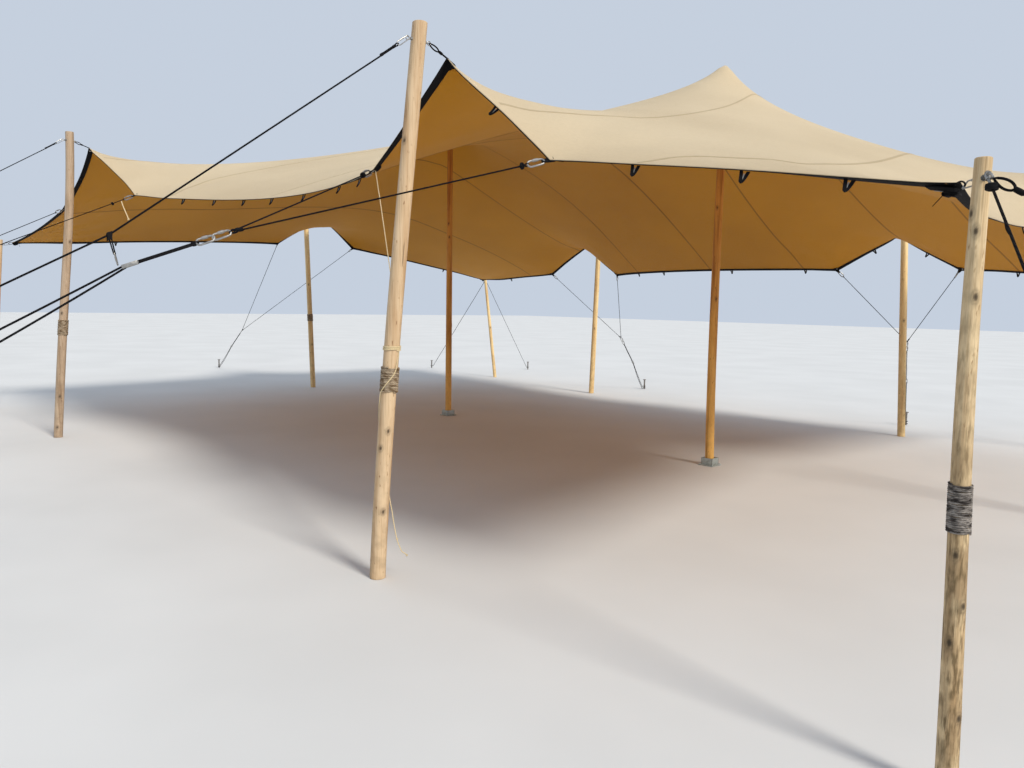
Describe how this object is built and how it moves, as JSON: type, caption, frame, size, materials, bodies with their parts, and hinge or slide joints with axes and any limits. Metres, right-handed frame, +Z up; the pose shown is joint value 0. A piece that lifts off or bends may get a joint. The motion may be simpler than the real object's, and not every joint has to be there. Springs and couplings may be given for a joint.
{
  "type": "stretch tent",
  "caption": "Stretch tent: an elastic canvas canopy pulled over two inner timber king poles and held out at its edges and corners by round timber poles, black guys and ground stakes.",
  "frame": {"origin": "on the ground, under the middle of the right-hand king pole's foot plate", "axes": "+X along the tent's length towards its right-hand end, +Y from the front edge to the back edge, +Z up"},
  "size_m": [20.677, 16.11, 4.0478],
  "materials": {
    "canvas": "sand coloured stretch canvas, matt, golden brown where the light shines through",
    "webbing": "black woven webbing",
    "timber": "peeled round timber, pale, with knots and drying cracks",
    "rope": "black braided rope and strap",
    "steel": "galvanised steel",
    "cord": "thin pale twisted cord",
    "plate": "dull galvanised plate, green-grey"
  },
  "bodies": {
    "root": {"canopy": "canvas", "edge_webbing": "webbing", "king_pole_left": "timber", "king_foot_left": "plate", "king_pole_right": "timber", "king_foot_right": "plate", "pole_front_left": "timber", "link_front_left": "steel", "stake_front_left": "steel", "tie_guys_front_left": "rope", "top_guy_front_left": "rope", "pole_front_right": "timber", "link_front_right": "steel", "stake_front_right": "steel", "tie_guys_front_right": "rope", "top_guy_front_right": "rope", "pole_back_left": "timber", "link_back_left": "steel", "stake_back_left": "steel", "tie_guys_back_left": "rope", "pole_back_right": "timber", "link_back_right": "steel", "stake_back_right": "steel", "tie_guys_back_right": "rope", "pole_left_end": "timber", "link_left_end": "steel", "stake_left_end": "steel", "tie_guys_left_end": "rope", "pole_right_end": "timber", "link_right_end": "steel", "stake_right_end": "steel", "tie_guys_right_end": "rope", "pole_front_left_corner": "timber", "link_front_left_corner": "steel", "stake_front_left_corner_a": "steel", "stake_front_left_corner_b": "steel", "corner_guys_front_left": "rope", "pole_front_right_corner": "timber", "link_front_right_corner": "steel", "stake_front_right_corner_a": "steel", "stake_front_right_corner_b": "steel", "corner_guys_front_right": "rope", "pole_back_left_corner": "timber", "link_back_left_corner": "steel", "stake_back_left_corner_a": "steel", "stake_back_left_corner_b": "steel", "corner_guys_back_left": "rope", "pole_back_right_corner": "timber", "link_back_right_corner": "steel", "stake_back_right_corner_a": "steel", "stake_back_right_corner_b": "steel", "corner_guys_back_right": "rope", "tie_cord": "cord", "guy_cord": "cord", "pole_cord": "cord"}
  },
  "joints": []
}
